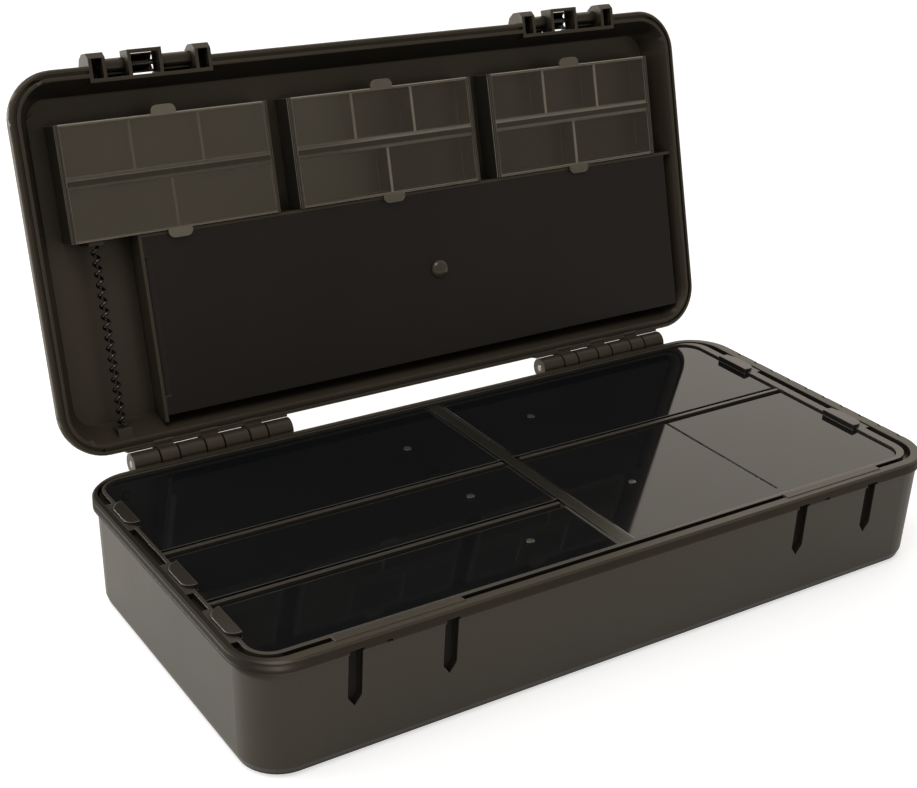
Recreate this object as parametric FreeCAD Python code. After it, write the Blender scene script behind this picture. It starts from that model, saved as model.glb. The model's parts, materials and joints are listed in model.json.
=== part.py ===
"""Portable tackle box: a moulded tub with a lift-out compartment tray under five flap lids, and a
hinged lid that carries three small flap boxes, a rig board and a rig spring.

Units are millimetres.  +Z is up, +X runs along the long side, -Y is the front (latch) side.  The
origin is the centre of the tub's underside.  Everything on the lid is drawn with the lid shut and is
then swung about the main hinge to the open position in which the box is stored here.
"""
import FreeCAD, Part
import math
import os
from FreeCAD import Vector

os.makedirs("parts", exist_ok=True)

# ---------------------------------------------------------------- driving dimensions
# Tub
LENGTH = 370.0            # over the rim
WIDTH = 174.6             # over the rim
BODY_HEIGHT = 55.4        # underside to rim face
RIM_RADIUS = 22.0
RIM_SKIRT = 5.6           # height of the outside band of the rim
END_OVERHANG = 2.5        # rim beyond the end walls
SIDE_OVERHANG = 1.0       # rim beyond the long walls
TUB_WALL = 2.4
TUB_FLOOR = 2.4
TUB_DRAFT = 1.3           # inset of the wall at the underside, each side
FOOT_RISE = 4.6           # rounding round the underside, in two bevels
FOOT_INSET = 3.6
RIM_BEVEL = 0.8
LEFT_LAND = 3.0           # width of the rim face at the left end
RIGHT_LAND = 6.2          # the same at the right end
FRONT_LAND = 4.5          # the same along the front
MOUTH_RADIUS = 15.8
NOTCH_COUNT = 10          # small notches along the right-hand rim
NOTCH_PITCH = 12.9
NOTCH_CENTRE_Y = -4.0
NOTCH_SIZE = 2.2
NOTCH_DEPTH = 1.2

# Compartment tray
FIT = 0.25                # loose fit between drop-in pieces
CHANNEL_END = 3.4         # open groove between the tray's bead and the rim, ends
CHANNEL_FRONT = 3.2       # the same along the front
SEAT_DEPTH = 3.2          # lid seat below the rim face
BEAD_LEFT = 1.6           # bead thickness at the left end
BEAD_RIGHT = 4.4
BEAD_FRONT = 2.0
BEAD_BACK = 1.1
BEAD_DROP = 0.4           # bead top below the rim face
SEAT_WIDTH = 2.3          # ledge under the lids' edges
SEAT_LEFT = 8.5           # the same at the left end, where the rim is narrower
TRAY_WALL = 1.8
TRAY_FLANGE = 1.4
TRAY_RADIUS = 10.0
DIVIDER = 1.8
DIVIDER_BACK_Y = 10.8     # divider in both halves
DIVIDER_FRONT_Y = -34.2   # second divider, left half only
RAIL_HEIGHT = 2.4         # divider tops above the lid seat
LEDGE_HALF = 6.0          # ledge along a divider, from its middle
LEDGE_THICK = 1.2
POCKET_RADIUS = 4.0
SPINE_WIDTH = 6.0         # cap between the lids
SPINE_RISE = 2.2          # spine top above the lid seat
SPINE_FOOT = 1.3          # spine below the lid seat
SPINE_WEB = 2.0
SPINE_TONGUE = 1.0        # middle wall's engagement in the spine

# Compartment lids
LID_PLATE = 1.6
LID_LIFT = 0.2            # underside above the seat
LID_GAP = 0.3             # gap round each lid
LID_FROM_DIVIDER = 3.6    # lid's edge from a divider's middle
LID_BEAD = 1.2            # radius of the bead along the lid's hinge edge
BEAD_PLAY = 0.08
LID_SWING = 85.0          # how far a compartment lid opens
PIN_PLAY = 0.05
TAB_WIDTH = 21.0
TAB_RADIUS = 6.0
TAB_OVERHANG = 2.2        # tab beyond the tray's bead
TAB_RISER = 1.3           # upright wall of the tab
TAB_RIDGE = 1.5           # ridge above the rim face
TAB_EDGE = 0.7            # outer edge above the rim face
TAB_PLAY = 0.2            # tab above the tray's bead
TAB_LAND = 13.0           # bridge across the groove under each tab, each side of its middle
LEFT_TABS = (1.9, 0.9, 4.7)            # back, middle, front: tab from the middle of its lane
RIGHT_TABS = (-1.2, -0.6)              # back, front
GROOVE_FROM_CENTRE = 92.0
GROOVE_WIDTH = 1.4
GROOVE_DEPTH = 0.7
GROOVE_END = 5.0          # groove stops this far from the lid's front edge

# Main hinge
HINGE_BACK = 6.0          # pin line behind the rim
HINGE_DROP = 0.6          # pin line below the rim face
OPEN_ANGLE = 105.4
KNUCKLE_RADIUS = 5.2
KNUCKLE_BODY = 13.4       # tub knuckle pitch length
KNUCKLE_LID = 9.5
KNUCKLE_GAP = 0.35
HINGE_FROM_END = 110.0    # inner end of a hinge from the end of the rim
HINGE_PIN_RADIUS = 1.6

# Lid
LID_GASKET = 0.4          # rim face of the lid above the tub's
LID_OVER_END = 1.5        # lid beyond the rim, each end
LID_INSIDE = 0.1          # lid inside the rim, front and back
LID_HEIGHT = 17.0
LID_BAND = 4.5            # straight band at the lid's rim
LID_BAND_STEP = 2.1
LID_SLOPE = 7.9           # how far the walls lean in above the band
LID_LAND = 5.0            # rim face width
LID_CAVITY = 14.6
LID_CAVITY_SLOPE = 7.0
LID_TOP_BEVEL = 2.2
LID_RIM_BEVEL = 0.7
SEAL_OFFSET = 1.8
SEAL_WIDTH = 1.7
SEAL_DEPTH = 1.8
LID_RIB = 1.5

# Latches
LATCH_FROM_END = 67.5     # latch centre from the end of the rim
LATCH_HALF = 29.6
CHEEK = 8.0
CHEEK_WALL = 1.5
LATCH_REACH = 5.6         # housing beyond the lid's front
LATCH_DEPTH = 14.0
BAY_WALL = 1.6
WINDOW_LEFT = -11.0       # centre unit, from the latch centre
WINDOW_RIGHT = 5.5
WINDOW_DEPTH = 9.0
PIVOT_IN = 0.5            # pin line behind the lid's front edge
PIVOT_UP = 8.0            # pin line above the lid's rim face
BARREL_RADIUS = 3.3
LATCH_PIN_RADIUS = 1.2
LEVER_FACE = 1.8          # lever's inner face from the pin line
LEVER_THICK = 2.4
LEVER_TOP = 10.8          # plate starts this far from the pin line
LEVER_LENGTH = 38.0
LEVER_FOLD = 200.0        # turned back from shut
SLOT_PITCH = 44.0
SLOT_WIDTH = 6.4
SLOT_DEPTH = 3.9
SLOT_TOP = 3.9            # below the rim face
SLOT_LENGTH = 27.0
SLOT_TIP = 4.5
SLOT_BOSS_WALL = 1.8
RIB_PLAY = 0.8
RIB_WIDTH = 3.2
CATCH_OFFSET = -7.5
CATCH_WIDTH = 3.0
CATCH_TOP = 4.0
CATCH_HEIGHT = 3.4
CATCH_DEPTH = 2.4
CATCH_LIP = 0.25
COIL_RADIUS = 2.6
COIL_BORE = 1.7
COIL_LENGTH = 5.0

# Small boxes in the lid
BOX_MARGIN = 7.55         # outer boxes from the ends of the lid's floor
BOX_GAP = 11.7            # between boxes
BOX_WIDTH = 53.0
BOX_FROM_FRONT = 23.9     # boxes from the lid's front edge
BOX_WALL = 1.3
BOX_BAR = 4.4             # between the two flaps' hinge lines
FLAP = 1.2
FLAP_LIFT = 0.2
FLAP_GAP = 0.3
FLAP_BEAD = 1.0           # radius of the bead along the flap's hinge edge
FLAP_SWING = 86.0         # how far a flap opens
BAR_PROUD = 0.25          # bar beyond the box's face
FLAP_TAB_WIDTH = 12.0
FLAP_TAB_REACH = 4.2
FLAP_TAB_RADIUS = 3.0
UPPER_CELLS = 3
LOWER_CELLS = 2

# Rig board and rig spring
BOARD_FROM_LEFT = 40.5    # board from the left end of the lid's floor
BOARD_LOW = 12.0          # from the lid's hinge edge
BOARD_GAP = 2.1           # between board and small boxes
BOARD_SINK = 1.8          # face behind the lid's rim face
BOARD_PLATE = 1.8
BOARD_FRAME = 1.5
BOARD_INSET = 5.5
BOARD_BEVEL = 3.0
BOARD_BEVEL_END = 9.0
STUD_RADIUS = 3.75
STUD_HEAD = 1.6
STUD_SHANK = 1.6
STUD_RIGHT = 1.75         # stud from the middle of the board
STUD_UP = 2.5
SPRING_FROM_LEFT = 18.8   # spring from the left end of the lid's floor
SPRING_SINK = 5.5
SPRING_RADIUS = 2.1
SPRING_LOW = 10.4         # from the lid's hinge edge
CLIP_HALF = 3.4
CLIP_LENGTH = 4.2
CLIP_LUG = 1.8
CLIP_SINK = 2.2

# ---------------------------------------------------------------- levels and limits worked out
RIM_X = LENGTH / 2
RIM_Y = WIDTH / 2
WALL_X = RIM_X - END_OVERHANG
WALL_Y = RIM_Y - SIDE_OVERHANG
OPENING_LEFT = RIM_X - LEFT_LAND
OPENING_RIGHT = RIM_X - RIGHT_LAND
OPENING_FRONT = -(RIM_Y - FRONT_LAND)
OPENING_BACK = WALL_Y - TUB_WALL
SEAT_Z = BODY_HEIGHT - SEAT_DEPTH
SHELF_Z = SEAT_Z - TRAY_FLANGE
PLATE_LOW = SEAT_Z + LID_LIFT
PLATE_TOP = PLATE_LOW + LID_PLATE
EDGE_LEFT = OPENING_LEFT - CHANNEL_END
EDGE_RIGHT = OPENING_RIGHT - CHANNEL_END
BEAD_FRONT_Y = OPENING_FRONT + CHANNEL_FRONT
BEAD_BACK_Y = OPENING_BACK - FIT
RECESS_LEFT = EDGE_LEFT - BEAD_LEFT
RECESS_RIGHT = EDGE_RIGHT - BEAD_RIGHT
RECESS_FRONT = BEAD_FRONT_Y + BEAD_FRONT
RECESS_BACK = BEAD_BACK_Y - BEAD_BACK
POCKET_LEFT = RECESS_LEFT - SEAT_LEFT
POCKET_RIGHT = RECESS_RIGHT - SEAT_WIDTH
POCKET_FRONT = RECESS_FRONT + SEAT_WIDTH
POCKET_BACK = RECESS_BACK - SEAT_WIDTH
BEAD_LINE_X = SPINE_WIDTH / 2 + 0.75 * LID_BEAD
BEAD_LINE_Z = PLATE_LOW + LID_PLATE / 2
HINGE_Y = RIM_Y + HINGE_BACK
HINGE_Z = BODY_HEIGHT - HINGE_DROP
HINGE_START = RIM_X - HINGE_FROM_END
LATCH_X = RIM_X - LATCH_FROM_END
LID_LENGTH = LENGTH + 2 * LID_OVER_END
LID_WIDTH = WIDTH - 2 * LID_INSIDE
RIM_FACE = BODY_HEIGHT + LID_GASKET
LID_FRONT = -LID_WIDTH / 2
PIVOT_Y = LID_FRONT + PIVOT_IN
PIVOT_Z = RIM_FACE + PIVOT_UP
CAVITY_FLOOR = RIM_FACE + LID_CAVITY
FLOOR_END = LID_LENGTH / 2 - LID_LAND - LID_CAVITY_SLOPE
BOX_LENGTH = (2 * (FLOOR_END - BOX_MARGIN) - 2 * BOX_GAP) / 3
BOX_PITCH = BOX_LENGTH + BOX_GAP
BOX_BACK = LID_WIDTH - BOX_FROM_FRONT - BOX_WIDTH
BOARD_LEFT = BOARD_FROM_LEFT - FLOOR_END
BOARD_RIGHT = FLOOR_END
BOARD_HIGH = BOX_BACK - BOARD_GAP
SPRING_X = SPRING_FROM_LEFT - FLOOR_END
SPRING_HIGH = BOARD_HIGH


# ---------------------------------------------------------------- geometry helpers
def box(x0, x1, y0, y1, z0, z1):
    """Block between two corners, given as pairs in any order."""
    low = Vector(min(x0, x1), min(y0, y1), min(z0, z1))
    return Part.makeBox(abs(x1 - x0), abs(y1 - y0), abs(z1 - z0), low)


def rounded_wire(x0, x1, y0, y1, z, radius):
    """Rectangle with round corners in a level plane."""
    x0, x1 = min(x0, x1), max(x0, x1)
    cut = radius * (1 - math.sqrt(0.5))
    corners = ((x1, y1, -1, -1), (x0, y1, 1, -1), (x0, y0, 1, 1), (x1, y0, -1, 1))
    arcs = []
    for index, (x, y, inx, iny) in enumerate(corners):
        across = Vector(x + inx * radius, y, z)
        along = Vector(x, y + iny * radius, z)
        middle = Vector(x + inx * cut, y + iny * cut, z)
        ends = (along, across) if index % 2 == 0 else (across, along)
        arcs.append(Part.Arc(ends[0], middle, ends[1]).toShape())
    edges = []
    for arc, following in zip(arcs, arcs[1:] + arcs[:1]):
        edges.append(arc)
        edges.append(Part.LineSegment(arc.lastVertex().Point, following.firstVertex().Point).toShape())
    return Part.Wire(Part.sortEdges(edges)[0])


def rounded_prism(x0, x1, y0, y1, z0, z1, radius):
    """Upright prism with round vertical corners."""
    face = Part.Face(rounded_wire(x0, x1, y0, y1, z0, radius))
    return face.extrude(Vector(0, 0, z1 - z0))


def rounded_loft(low, high):
    """Tapered block between two (half length, half width, z, radius) rectangles."""
    wires = [rounded_wire(-hx, hx, -hy, hy, z, radius) for hx, hy, z, radius in (low, high)]
    return Part.makeLoft(wires, True, True)


def profile_x(points, x0, x1):
    """Outline of (y, z) points swept along X."""
    corners = [Vector(min(x0, x1), y, z) for y, z in points]
    face = Part.Face(Part.makePolygon(corners + corners[:1]))
    return face.extrude(Vector(abs(x1 - x0), 0, 0))


def profile_y(points, y0, y1):
    """Outline of (x, z) points swept along Y."""
    corners = [Vector(x, y0, z) for x, z in points]
    face = Part.Face(Part.makePolygon(corners + corners[:1]))
    return face.extrude(Vector(0, y1 - y0, 0))


def rod_x(x0, x1, y, z, radius):
    """Round bar along X."""
    return Part.makeCylinder(radius, abs(x1 - x0), Vector(min(x0, x1), y, z), Vector(1, 0, 0))


def rod_y(x, y0, y1, z, radius):
    """Round bar along Y."""
    return Part.makeCylinder(radius, y1 - y0, Vector(x, y0, z), Vector(0, 1, 0))


def joined(first, *others):
    """Union with the seams between flush faces removed."""
    return first.fuse(list(others)).removeSplitter()


def less(first, *others):
    """First solid with the others taken away."""
    return first.cut(list(others))


def groove_lips(radius, plate, swing):
    """Offsets from a bead's centre to the two lips of the groove that holds it.

    Each is (outward, towards the face).  The plate leaves the bead outward and swings towards the
    face, so the groove is open over that sector and closed over the rest.
    """
    half_plate = math.degrees(math.asin(plate / 2 / radius)) + 5.0
    hole = radius + BEAD_PLAY
    lips = []
    for angle in (swing + half_plate, -half_plate):
        lips.append((hole * math.cos(math.radians(angle)), hole * math.sin(math.radians(angle))))
    return lips


def level_edges(shape, z):
    """Edges that lie in the level plane z."""
    near = 1e-4
    return [e for e in shape.Edges if abs(e.BoundBox.ZMin - z) < near and abs(e.BoundBox.ZMax - z) < near]


def opened(shape):
    """Swing a lid piece from shut to the open position."""
    turned = shape.copy()
    turned.rotate(Vector(0, HINGE_Y, HINGE_Z), Vector(1, 0, 0), -OPEN_ANGLE)
    return turned


def save(name, shape):
    """Write one node."""
    shape.exportStep(os.path.join("parts", name + ".step"))


# ---------------------------------------------------------------- main hinge
def knuckle_spans(side):
    """(tub spans, lid spans) of one hinge, as x ranges with running gaps."""
    tub, lid, start = [], [], HINGE_START
    for index in range(7):
        length = KNUCKLE_BODY if index % 2 == 0 else KNUCKLE_LID
        span = (side * (start + KNUCKLE_GAP / 2), side * (start + length - KNUCKLE_GAP / 2))
        (tub if index % 2 == 0 else lid).append(span)
        start += length
    return tub, lid


def hinge_bore(side):
    """Pin hole through one whole hinge."""
    tub, _ = knuckle_spans(side)
    return rod_x(tub[0][0] - side, tub[-1][1] + side, HINGE_Y, HINGE_Z, HINGE_PIN_RADIUS + PIN_PLAY)


def tub_knuckle(span):
    """Barrel with the web that carries it from the rim's skirt."""
    foot = BODY_HEIGHT - RIM_SKIRT + 0.4
    web = [(WALL_Y, foot), (HINGE_Y, HINGE_Z - KNUCKLE_RADIUS), (HINGE_Y, HINGE_Z), (WALL_Y, HINGE_Z)]
    return joined(rod_x(span[0], span[1], HINGE_Y, HINGE_Z, KNUCKLE_RADIUS), profile_x(web, *span))


def lid_knuckle(span):
    """Barrel with the web that carries it from the lid's back band."""
    back = LID_WIDTH / 2 - LID_BAND_STEP
    under = RIM_FACE + 0.3
    web = [(back, under), (HINGE_Y, under), (HINGE_Y, HINGE_Z + KNUCKLE_RADIUS), (back, RIM_FACE + LID_BAND)]
    return joined(rod_x(span[0], span[1], HINGE_Y, HINGE_Z, KNUCKLE_RADIUS), profile_x(web, *span))


def hinge_pin(side):
    """Steel pin of one main hinge."""
    tub, _ = knuckle_spans(side)
    return rod_x(tub[0][0], tub[-1][1], HINGE_Y, HINGE_Z, HINGE_PIN_RADIUS)


# ---------------------------------------------------------------- tub
def latch_slot(x):
    """Pencil-shaped pocket that clears one rib of a latch lever."""
    top = BODY_HEIGHT - SLOT_TOP
    shoulder = top - SLOT_LENGTH + SLOT_TIP
    half = SLOT_WIDTH / 2
    outline = [(x - half, top), (x + half, top), (x + half, shoulder), (x, top - SLOT_LENGTH),
               (x - half, shoulder)]
    return profile_y(outline, -RIM_Y - 1, -RIM_Y + SLOT_DEPTH)


def catch_pocket(centre):
    """Wedge that the lever's tooth snaps into."""
    top = BODY_HEIGHT - CATCH_TOP
    outline = [(-RIM_Y - 1, top), (-RIM_Y + CATCH_DEPTH, top), (-RIM_Y, top - CATCH_HEIGHT),
               (-RIM_Y - 1, top - CATCH_HEIGHT)]
    middle = centre + CATCH_OFFSET
    return profile_x(outline, middle - CATCH_WIDTH / 2, middle + CATCH_WIDTH / 2)


def make_tub():
    """Drafted shell with an overhanging rim, catch lands, hinge knuckles and latch pockets."""
    skirt_z = BODY_HEIGHT - RIM_SKIRT
    wall_radius = RIM_RADIUS - END_OVERHANG
    levels = [(FOOT_INSET, 0.0), (FOOT_INSET * 0.3, FOOT_RISE * 0.3), (0.0, FOOT_RISE)]
    rings = []
    for inset, z in levels:
        taken = inset + TUB_DRAFT * (1 - z / skirt_z)
        rings.append((WALL_X - taken, WALL_Y - taken, z, wall_radius - taken))
    rings.append((WALL_X, WALL_Y, skirt_z, wall_radius))
    shell = joined(*[rounded_loft(low, high) for low, high in zip(rings, rings[1:])])
    rim = rounded_prism(-RIM_X, RIM_X, -RIM_Y, RIM_Y, skirt_z, BODY_HEIGHT, RIM_RADIUS)
    rim = rim.makeChamfer(RIM_BEVEL, level_edges(rim, BODY_HEIGHT))

    drafted = TUB_DRAFT * (SHELF_Z - TUB_FLOOR) / SHELF_Z
    inside_low = (WALL_X - TUB_WALL - drafted, WALL_Y - TUB_WALL - drafted, TUB_FLOOR,
                  wall_radius - TUB_WALL - drafted)
    inside_high = (WALL_X - TUB_WALL, WALL_Y - TUB_WALL, SHELF_Z, wall_radius - TUB_WALL)
    hollow = rounded_loft(inside_low, inside_high)
    mouth = rounded_prism(-OPENING_LEFT, OPENING_RIGHT, OPENING_FRONT, OPENING_BACK, SHELF_Z, BODY_HEIGHT + 1,
                          MOUTH_RADIUS)
    tub = less(joined(shell, rim), hollow, mouth)

    additions, pockets = [], []
    for side in (-1, 1):
        centre = side * LATCH_X
        land_low = SEAT_Z + FIT
        additions.append(box(centre - LATCH_HALF, centre + LATCH_HALF, OPENING_FRONT - 1.0, BEAD_FRONT_Y - FIT,
                             land_low, BODY_HEIGHT + CATCH_LIP))
        for end in (-1, 1):
            x = centre + end * SLOT_PITCH / 2
            half = SLOT_WIDTH / 2 + SLOT_BOSS_WALL
            back = -RIM_Y + SLOT_DEPTH + SLOT_BOSS_WALL
            boss_top = SHELF_Z - FIT
            boss_low = BODY_HEIGHT - SLOT_TOP - SLOT_LENGTH - SLOT_BOSS_WALL
            additions.append(box(x - half, x + half, -WALL_Y + TUB_WALL - 0.6, back, boss_low, boss_top))
            pockets.append(latch_slot(x))
        pockets.append(catch_pocket(centre))
        spans, _ = knuckle_spans(side)
        additions += [tub_knuckle(span) for span in spans]
        pockets.append(hinge_bore(side))
    for index in range(NOTCH_COUNT):
        y = NOTCH_CENTRE_Y + (index - (NOTCH_COUNT - 1) / 2) * NOTCH_PITCH
        pockets.append(box(RIM_X - NOTCH_DEPTH, RIM_X + 1, y - NOTCH_SIZE / 2, y + NOTCH_SIZE / 2,
                           BODY_HEIGHT - NOTCH_DEPTH, BODY_HEIGHT + 1))
    return less(joined(tub, *additions), *pockets)


# ---------------------------------------------------------------- compartment tray
def lanes():
    """(side, y low, y high, tab centre, name) of each compartment lid."""
    left = ((DIVIDER_BACK_Y, RECESS_BACK, "left_back"), (DIVIDER_FRONT_Y, DIVIDER_BACK_Y, "left_middle"),
            (RECESS_FRONT, DIVIDER_FRONT_Y, "left_front"))
    right = ((DIVIDER_BACK_Y, RECESS_BACK, "right_back"), (RECESS_FRONT, DIVIDER_BACK_Y, "right_front"))
    found = []
    for side, rows, shifts in ((-1, left, LEFT_TABS), (1, right, RIGHT_TABS)):
        for (low, high, name), shift in zip(rows, shifts):
            found.append((side, low, high, (low + high) / 2 + shift, name))
    return found


def end_of(side, left, right):
    """Signed x of one end of the tray, from its distance at each side."""
    return -left if side < 0 else right


def at_divider(y):
    """Whether a lane ends at a divider, rather than at the recess wall."""
    return y in (DIVIDER_BACK_Y, DIVIDER_FRONT_Y)


def make_tray():
    """Thin-walled insert: five compartments, lid seat, bead and the flange that closes the channel."""
    floor_z = TUB_FLOOR
    tray = rounded_prism(-POCKET_LEFT - TRAY_WALL, POCKET_RIGHT + TRAY_WALL, POCKET_FRONT - TRAY_WALL,
                         POCKET_BACK + TRAY_WALL, floor_z, SEAT_Z, TRAY_RADIUS - SEAT_WIDTH + TRAY_WALL)
    flange = rounded_prism(-OPENING_LEFT + FIT, OPENING_RIGHT - FIT, OPENING_FRONT + FIT, OPENING_BACK - FIT,
                           SHELF_Z, SEAT_Z, MOUTH_RADIUS - FIT)
    bead_top = BODY_HEIGHT - BEAD_DROP
    bead = rounded_prism(-EDGE_LEFT, EDGE_RIGHT, BEAD_FRONT_Y, BEAD_BACK_Y, SEAT_Z, bead_top,
                         TRAY_RADIUS + BEAD_FRONT)
    recess = rounded_prism(-RECESS_LEFT, RECESS_RIGHT, RECESS_FRONT, RECESS_BACK, SEAT_Z, BODY_HEIGHT,
                           TRAY_RADIUS)
    bridges = []
    for side, _, _, tab_y, _ in lanes():
        inner_end = end_of(side, RECESS_LEFT, RECESS_RIGHT)
        outer_end = end_of(side, OPENING_LEFT - FIT, OPENING_RIGHT - FIT)
        bridges.append(box(inner_end, outer_end, tab_y - TAB_LAND, tab_y + TAB_LAND, SEAT_Z, bead_top))
    tray = joined(tray, flange, less(bead, recess), *bridges)

    half = DIVIDER / 2
    spine_half = spine_foot_half() + FIT
    spine_foot = SEAT_Z - SPINE_FOOT
    cuts, rails = [], []
    for side, low, high, _, _ in lanes():
        y0 = low + half if at_divider(low) else POCKET_FRONT
        y1 = high - half if at_divider(high) else POCKET_BACK
        cuts.append(rounded_prism(side * SPINE_WEB / 2, end_of(side, POCKET_LEFT, POCKET_RIGHT), y0, y1,
                                  floor_z + TRAY_WALL, SEAT_Z + 1, POCKET_RADIUS))
    for side, y in ((-1, DIVIDER_BACK_Y), (1, DIVIDER_BACK_Y), (-1, DIVIDER_FRONT_Y)):
        end = end_of(side, RECESS_LEFT, RECESS_RIGHT)
        ledge_low = SEAT_Z - LEDGE_THICK
        rails.append(box(side * spine_half, end, y - half, y + half, ledge_low, SEAT_Z + RAIL_HEIGHT))
        rails.append(box(side * spine_half, end, y - LEDGE_HALF, y + LEDGE_HALF, ledge_low, SEAT_Z))
    tray = joined(less(tray, *cuts), *rails)

    seat = box(-spine_half, spine_half, RECESS_FRONT, RECESS_BACK, spine_foot - FIT, BODY_HEIGHT)
    web = box(-SPINE_WEB / 2, SPINE_WEB / 2, RECESS_FRONT, RECESS_BACK, floor_z, spine_foot + SPINE_TONGUE)
    return less(tray, less(seat, web))


def spine_foot_half():
    """Half width of the spine below its grooves."""
    _, low = groove_lips(LID_BEAD, LID_PLATE, LID_SWING)
    return BEAD_LINE_X + low[0]


def make_spine():
    """Cap strip on the middle wall; a groove along each side holds the lids' hinge beads."""
    top, foot = SEAT_Z + SPINE_RISE, SEAT_Z - SPINE_FOOT
    high, low = groove_lips(LID_BEAD, LID_PLATE, LID_SWING)
    shoulder = BEAD_LINE_X + high[0]
    half = BEAD_LINE_X + low[0]
    y0, y1 = RECESS_FRONT + LID_GAP, RECESS_BACK - LID_GAP
    right = [(half, foot), (half, BEAD_LINE_Z + low[1]), (BEAD_LINE_X, BEAD_LINE_Z),
             (shoulder, BEAD_LINE_Z + high[1]), (shoulder, top)]
    left = [(-x, z) for x, z in reversed(right)]
    strip = profile_y(right + left, y0, y1)
    grooves = [rod_y(side * BEAD_LINE_X, y0, y1, BEAD_LINE_Z, LID_BEAD + BEAD_PLAY) for side in (-1, 1)]
    slot = box(-SPINE_WEB / 2 - FIT, SPINE_WEB / 2 + FIT, y0, y1, foot, foot + SPINE_TONGUE)
    return less(strip, slot, *grooves)


def finger_tab(side, tab_y):
    """Hood over the tray's bead: an upright riser, a ridge, and a roof that falls to a rounded outer edge."""
    inner = end_of(side, RECESS_LEFT, RECESS_RIGHT) - side * (LID_GAP + TAB_RISER)
    outer = end_of(side, EDGE_LEFT, EDGE_RIGHT) + side * TAB_OVERHANG
    under = BODY_HEIGHT - BEAD_DROP + TAB_PLAY
    section = [(inner, PLATE_LOW), (inner, BODY_HEIGHT + TAB_RIDGE), (outer, BODY_HEIGHT + TAB_EDGE),
               (outer, under), (inner + side * TAB_RISER, under), (inner + side * TAB_RISER, PLATE_LOW)]
    half = TAB_WIDTH / 2
    radius = min(TAB_RADIUS, abs(outer - inner))
    outline = rounded_prism(inner - side * 2 * TAB_RADIUS, outer, tab_y - half, tab_y + half, PLATE_LOW,
                            BODY_HEIGHT + TAB_RIDGE, radius)
    return profile_y(section, tab_y - half, tab_y + half).common(outline)


def compartment_lid(side, low, high, tab_y, name):
    """Flat lid with a round bead along its hinge edge and a hooded finger tab over the tray's bead."""
    y0 = low + LID_FROM_DIVIDER if at_divider(low) else low + LID_GAP
    y1 = high - LID_FROM_DIVIDER if at_divider(high) else high - LID_GAP
    outer = rounded_prism(-RECESS_LEFT + LID_GAP, RECESS_RIGHT - LID_GAP, RECESS_FRONT + LID_GAP,
                          RECESS_BACK - LID_GAP, PLATE_LOW, PLATE_TOP, TRAY_RADIUS - LID_GAP)
    plate = outer.common(box(side * BEAD_LINE_X, side * LENGTH, y0, y1, PLATE_LOW, PLATE_TOP))
    lid = joined(plate, finger_tab(side, tab_y), rod_y(side * BEAD_LINE_X, y0, y1, BEAD_LINE_Z, LID_BEAD))
    if name == "right_front":
        groove = box(GROOVE_FROM_CENTRE - GROOVE_WIDTH / 2, GROOVE_FROM_CENTRE + GROOVE_WIDTH / 2,
                     y0 + GROOVE_END, y1 + 1, PLATE_TOP - GROOVE_DEPTH, PLATE_TOP + 1)
        lid = less(lid, groove)
    return lid


# ---------------------------------------------------------------- lid shell
def bay_wall_y(depth, offset=0.0):
    """Y of the latch bay's back wall at a depth behind the rim face; it leans like the lid's own wall."""
    slope = LID_CAVITY_SLOPE / LID_CAVITY
    return -(LID_WIDTH / 2 - LID_LAND) + 0.8 + offset + depth * slope * 0.32


def latch_housing(centre):
    """Cheeks, centre unit and back wall of one latch bay, each hollow towards the rim face."""
    z0, front = RIM_FACE, LID_FRONT - LATCH_REACH
    back_low, back_high = bay_wall_y(0, BAY_WALL), bay_wall_y(LID_CAVITY, BAY_WALL)
    top = z0 + LATCH_DEPTH
    shoulder = z0 + LATCH_DEPTH * 0.55
    chamfer = 2.4
    outline = [(back_low, z0), (front + chamfer, z0), (front, z0 + chamfer), (front, shoulder),
               (front + 2.2, z0 + LATCH_DEPTH * 0.83), (front + 6.5, top), (back_high, top)]
    pieces, cores = [], []
    for end in (-1, 1):
        outer = centre + end * LATCH_HALF
        inner = centre + end * (LATCH_HALF - CHEEK)
        pieces.append(profile_x(outline, outer, inner))
        cores.append(profile_x([(back_low - BAY_WALL, z0 - 1), (front + chamfer + 0.6, z0 - 1),
                                (front + CHEEK_WALL, z0 + chamfer), (front + CHEEK_WALL, shoulder),
                                (back_low - BAY_WALL, shoulder)],
                               outer - end * CHEEK_WALL, inner + end * CHEEK_WALL))
    unit_top = z0 + WINDOW_DEPTH
    left, right = centre + WINDOW_LEFT, centre + WINDOW_RIGHT
    pieces.append(box(left, right, front, back_low, z0, unit_top))
    cores.append(box(left + CHEEK_WALL, right - CHEEK_WALL, front + CHEEK_WALL, bay_wall_y(0), z0 - 1,
                     unit_top + 1))
    wall = [(bay_wall_y(0), z0), (back_low, z0), (back_high, CAVITY_FLOOR + 0.5),
            (bay_wall_y(LID_CAVITY), CAVITY_FLOOR + 0.5)]
    pieces.append(profile_x(wall, centre - LATCH_HALF, centre + LATCH_HALF))
    return pieces, cores


def latch_bay(centre):
    """Space in the lid's front in which the lever turns."""
    depth = LATCH_DEPTH - 0.2
    outline = [(LID_FRONT - 20, RIM_FACE - 1), (bay_wall_y(0), RIM_FACE - 1),
               (bay_wall_y(depth), RIM_FACE + depth), (LID_FRONT - 20, RIM_FACE + depth)]
    inner = LATCH_HALF - CHEEK
    return profile_x(outline, centre - inner, centre + inner)


def spring_clip(v_low, length):
    """Block on the lid's floor that holds one end of the rig spring."""
    y = LID_WIDTH / 2 - v_low
    return box(SPRING_X - CLIP_HALF, SPRING_X + CLIP_HALF, y - length, y, RIM_FACE + CLIP_SINK,
               CAVITY_FLOOR + 0.5)


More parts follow.
